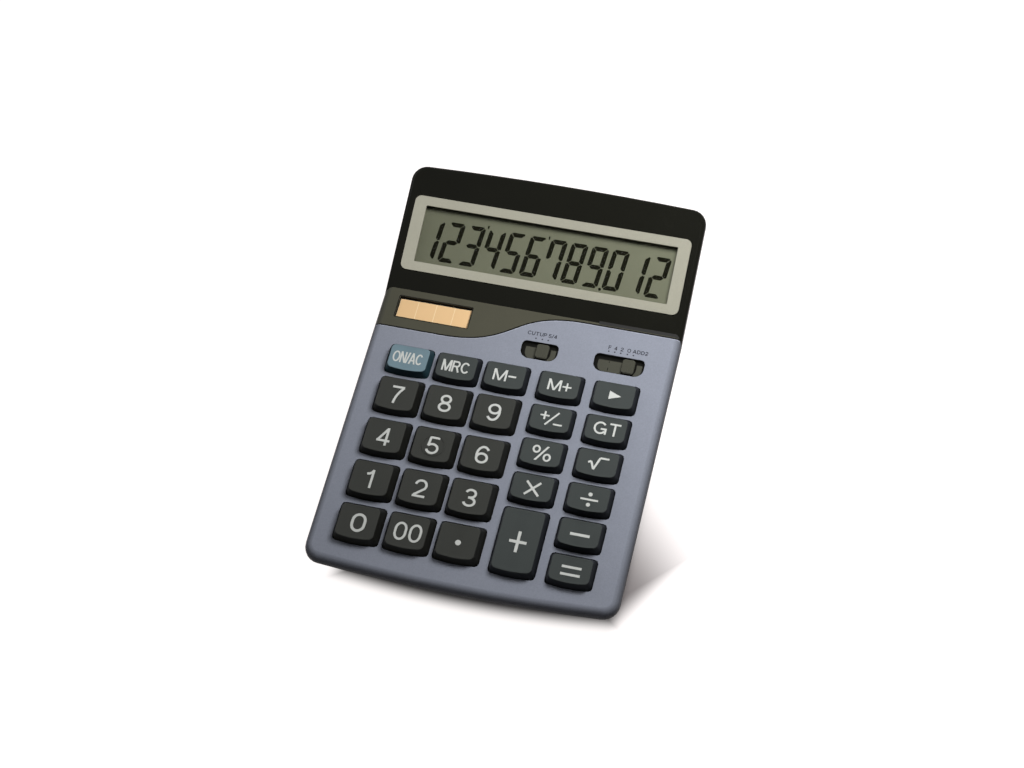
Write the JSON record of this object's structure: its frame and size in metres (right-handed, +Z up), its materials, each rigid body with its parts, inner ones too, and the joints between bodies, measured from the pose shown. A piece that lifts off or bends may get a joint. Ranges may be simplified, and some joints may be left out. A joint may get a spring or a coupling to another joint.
{
  "type": "desktop calculator",
  "caption": "Desktop calculator with a sloping keyboard, a solar cell, slide switches and a wide LCD in a framed display head that tilts up from the face.",
  "frame": {"origin": "middle of the part's box at desk level, on which its four feet stand", "axes": "+X to the right, +Y from the front edge to the display, +Z up"},
  "size_m": [0.137, 0.1952, 0.0538],
  "materials": {
    "blue_case": "satin silver-blue metallic paint",
    "black_case": "polished black",
    "grey_panel": "satin dark grey",
    "dark_case": "fine-grained dark grey",
    "number_key": "satin moulded",
    "function_key": "satin moulded",
    "clear_key": "satin moulded teal",
    "silver_frame": "satin silver paint",
    "clear_window": "clear",
    "lcd": "grey-green reflective display",
    "solar_glass": "peach amorphous cell",
    "rubber": "matt",
    "silicone": "matt",
    "circuit_board": "solder mask",
    "resin": "black resin",
    "steel": "plated",
    "film": "amber film"
  },
  "bodies": {
    "base": {"top_case": "blue_case", "trim_panel": "grey_panel", "solar_cell": "solar_glass", "key_membrane": "silicone", "main_board": "circuit_board", "controller_chip": "resin", "capacitor": "rubber", "rear_deck": "blue_case", "bottom_case": "dark_case", "battery_cell": "steel", "battery_contact_top": "steel", "battery_contact_side": "steel", "case_screw_1": "steel", "case_screw_2": "steel", "case_screw_3": "steel", "case_screw_4": "steel", "foot_left_front": "rubber", "foot_right_front": "rubber", "foot_left_rear": "rubber", "foot_right_rear": "rubber", "display_ribbon": "film"},
    "display": {"display_front": "black_case", "display_bezel": "silver_frame", "display_lens": "clear_window", "lcd_panel": "lcd", "contact_strip": "rubber", "display_board": "circuit_board", "display_rear": "black_case", "hinge_pin_left": "steel", "hinge_pin_right": "steel"},
    "key_on_ac": {"key_on_ac": "clear_key"},
    "key_mrc": {"key_mrc": "function_key"},
    "key_m_minus": {"key_m_minus": "function_key"},
    "key_seven": {"key_seven": "number_key"},
    "key_eight": {"key_eight": "number_key"},
    "key_nine": {"key_nine": "number_key"},
    "key_four": {"key_four": "number_key"},
    "key_five": {"key_five": "number_key"},
    "key_six": {"key_six": "number_key"},
    "key_one": {"key_one": "number_key"},
    "key_two": {"key_two": "number_key"},
    "key_three": {"key_three": "number_key"},
    "key_zero": {"key_zero": "number_key"},
    "key_double_zero": {"key_double_zero": "number_key"},
    "key_point": {"key_point": "number_key"},
    "key_m_plus": {"key_m_plus": "function_key"},
    "key_plus_minus": {"key_plus_minus": "function_key"},
    "key_percent": {"key_percent": "function_key"},
    "key_multiply": {"key_multiply": "function_key"},
    "key_plus": {"key_plus": "function_key"},
    "key_arrow": {"key_arrow": "function_key"},
    "key_gt": {"key_gt": "function_key"},
    "key_root": {"key_root": "function_key"},
    "key_divide": {"key_divide": "function_key"},
    "key_minus": {"key_minus": "function_key"},
    "key_equals": {"key_equals": "function_key"},
    "rounding_switch": {"rounding_switch": "dark_case"},
    "decimal_switch": {"decimal_switch": "dark_case"},
    "battery_door": {"battery_door": "dark_case"}
  },
  "joints": [
    {"name": "display_tilt", "type": "hinge", "parent": "base", "child": "display", "pos_m": [0, 0.04372, 0.02566], "axis": [1, 0, 0], "range_deg": [-16, 26], "deforming": ["display_ribbon"]},
    {"name": "press_on_ac", "type": "slide", "parent": "base", "child": "key_on_ac", "axis": [0, 0.1219, -0.9925], "range_m": [0, 0.0015], "stiffness_N_per_m": 300, "springref_m": -0.0005},
    {"name": "press_mrc", "type": "slide", "parent": "base", "child": "key_mrc", "axis": [0, 0.1219, -0.9925], "range_m": [0, 0.0015], "stiffness_N_per_m": 300, "springref_m": -0.0005},
    {"name": "press_m_minus", "type": "slide", "parent": "base", "child": "key_m_minus", "axis": [0, 0.1219, -0.9925], "range_m": [0, 0.0015], "stiffness_N_per_m": 300, "springref_m": -0.0005},
    {"name": "press_seven", "type": "slide", "parent": "base", "child": "key_seven", "axis": [0, 0.1219, -0.9925], "range_m": [0, 0.0015], "stiffness_N_per_m": 300, "springref_m": -0.0005},
    {"name": "press_eight", "type": "slide", "parent": "base", "child": "key_eight", "axis": [0, 0.1219, -0.9925], "range_m": [0, 0.0015], "stiffness_N_per_m": 300, "springref_m": -0.0005},
    {"name": "press_nine", "type": "slide", "parent": "base", "child": "key_nine", "axis": [0, 0.1219, -0.9925], "range_m": [0, 0.0015], "stiffness_N_per_m": 300, "springref_m": -0.0005},
    {"name": "press_four", "type": "slide", "parent": "base", "child": "key_four", "axis": [0, 0.1219, -0.9925], "range_m": [0, 0.0015], "stiffness_N_per_m": 300, "springref_m": -0.0005},
    {"name": "press_five", "type": "slide", "parent": "base", "child": "key_five", "axis": [0, 0.1219, -0.9925], "range_m": [0, 0.0015], "stiffness_N_per_m": 300, "springref_m": -0.0005},
    {"name": "press_six", "type": "slide", "parent": "base", "child": "key_six", "axis": [0, 0.1219, -0.9925], "range_m": [0, 0.0015], "stiffness_N_per_m": 300, "springref_m": -0.0005},
    {"name": "press_one", "type": "slide", "parent": "base", "child": "key_one", "axis": [0, 0.1219, -0.9925], "range_m": [0, 0.0015], "stiffness_N_per_m": 300, "springref_m": -0.0005},
    {"name": "press_two", "type": "slide", "parent": "base", "child": "key_two", "axis": [0, 0.1219, -0.9925], "range_m": [0, 0.0015], "stiffness_N_per_m": 300, "springref_m": -0.0005},
    {"name": "press_three", "type": "slide", "parent": "base", "child": "key_three", "axis": [0, 0.1219, -0.9925], "range_m": [0, 0.0015], "stiffness_N_per_m": 300, "springref_m": -0.0005},
    {"name": "press_zero", "type": "slide", "parent": "base", "child": "key_zero", "axis": [0, 0.1219, -0.9925], "range_m": [0, 0.0015], "stiffness_N_per_m": 300, "springref_m": -0.0005},
    {"name": "press_double_zero", "type": "slide", "parent": "base", "child": "key_double_zero", "axis": [0, 0.1219, -0.9925], "range_m": [0, 0.0015], "stiffness_N_per_m": 300, "springref_m": -0.0005},
    {"name": "press_point", "type": "slide", "parent": "base", "child": "key_point", "axis": [0, 0.1219, -0.9925], "range_m": [0, 0.0015], "stiffness_N_per_m": 300, "springref_m": -0.0005},
    {"name": "press_m_plus", "type": "slide", "parent": "base", "child": "key_m_plus", "axis": [0, 0.1219, -0.9925], "range_m": [0, 0.0015], "stiffness_N_per_m": 300, "springref_m": -0.0005},
    {"name": "press_plus_minus", "type": "slide", "parent": "base", "child": "key_plus_minus", "axis": [0, 0.1219, -0.9925], "range_m": [0, 0.0015], "stiffness_N_per_m": 300, "springref_m": -0.0005},
    {"name": "press_percent", "type": "slide", "parent": "base", "child": "key_percent", "axis": [0, 0.1219, -0.9925], "range_m": [0, 0.0015], "stiffness_N_per_m": 300, "springref_m": -0.0005},
    {"name": "press_multiply", "type": "slide", "parent": "base", "child": "key_multiply", "axis": [0, 0.1219, -0.9925], "range_m": [0, 0.0015], "stiffness_N_per_m": 300, "springref_m": -0.0005},
    {"name": "press_plus", "type": "slide", "parent": "base", "child": "key_plus", "axis": [0, 0.1219, -0.9925], "range_m": [0, 0.0015], "stiffness_N_per_m": 300, "springref_m": -0.0005},
    {"name": "press_arrow", "type": "slide", "parent": "base", "child": "key_arrow", "axis": [0, 0.1219, -0.9925], "range_m": [0, 0.0015], "stiffness_N_per_m": 300, "springref_m": -0.0005},
    {"name": "press_gt", "type": "slide", "parent": "base", "child": "key_gt", "axis": [0, 0.1219, -0.9925], "range_m": [0, 0.0015], "stiffness_N_per_m": 300, "springref_m": -0.0005},
    {"name": "press_root", "type": "slide", "parent": "base", "child": "key_root", "axis": [0, 0.1219, -0.9925], "range_m": [0, 0.0015], "stiffness_N_per_m": 300, "springref_m": -0.0005},
    {"name": "press_divide", "type": "slide", "parent": "base", "child": "key_divide", "axis": [0, 0.1219, -0.9925], "range_m": [0, 0.0015], "stiffness_N_per_m": 300, "springref_m": -0.0005},
    {"name": "press_minus", "type": "slide", "parent": "base", "child": "key_minus", "axis": [0, 0.1219, -0.9925], "range_m": [0, 0.0015], "stiffness_N_per_m": 300, "springref_m": -0.0005},
    {"name": "press_equals", "type": "slide", "parent": "base", "child": "key_equals", "axis": [0, 0.1219, -0.9925], "range_m": [0, 0.0015], "stiffness_N_per_m": 300, "springref_m": -0.0005},
    {"name": "rounding_slide", "type": "slide", "parent": "base", "child": "rounding_switch", "axis": [1, 0, 0], "range_m": [-0.0028, 0.0028]},
    {"name": "decimal_slide", "type": "slide", "parent": "base", "child": "decimal_switch", "axis": [1, 0, 0], "range_m": [-0.0084, 0.0028]},
    {"name": "battery_door_slide", "type": "slide", "parent": "base", "child": "battery_door", "axis": [0, 1, 0], "range_m": [0, 0.006]}
  ]
}
